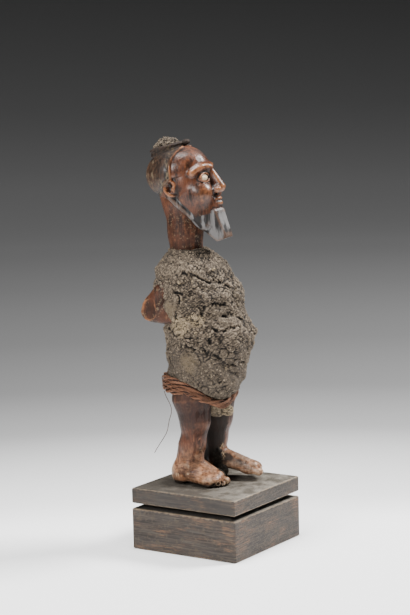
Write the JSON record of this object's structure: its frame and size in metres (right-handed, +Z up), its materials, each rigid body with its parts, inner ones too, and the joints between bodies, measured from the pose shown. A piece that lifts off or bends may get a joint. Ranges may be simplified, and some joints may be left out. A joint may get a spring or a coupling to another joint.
{
  "type": "bembe figure",
  "caption": "Standing carved wooden figure with crested hair, long neck and beard, its body covered in an earthen charge, a cord round the hips, on a square grooved plinth.",
  "frame": {"origin": "centre of the plinth's underside", "axes": "+Z up, +X towards the figure's left, -Y the way the plinth's front faces; the figure is turned 6 degrees to its own left on the plinth"},
  "size_m": [0.065, 0.0687, 0.2169],
  "materials": {
    "stained_wood": "dark stained wood, brushed, half matte",
    "carved_wood": "dark reddish brown patina, glossy where handled",
    "eye_inlay": "pale cream shell or bone, worn",
    "earth": "rough crumbly earth and resin, matte",
    "fibre": "rust brown plant fibre cord, dry"
  },
  "bodies": {
    "root": {"plinth": "stained_wood", "figure": "carved_wood", "eye_inlay_right": "eye_inlay", "eye_inlay_left": "eye_inlay", "charge": "earth", "hip_cord": "fibre", "loose_fibre": "fibre"}
  },
  "joints": []
}
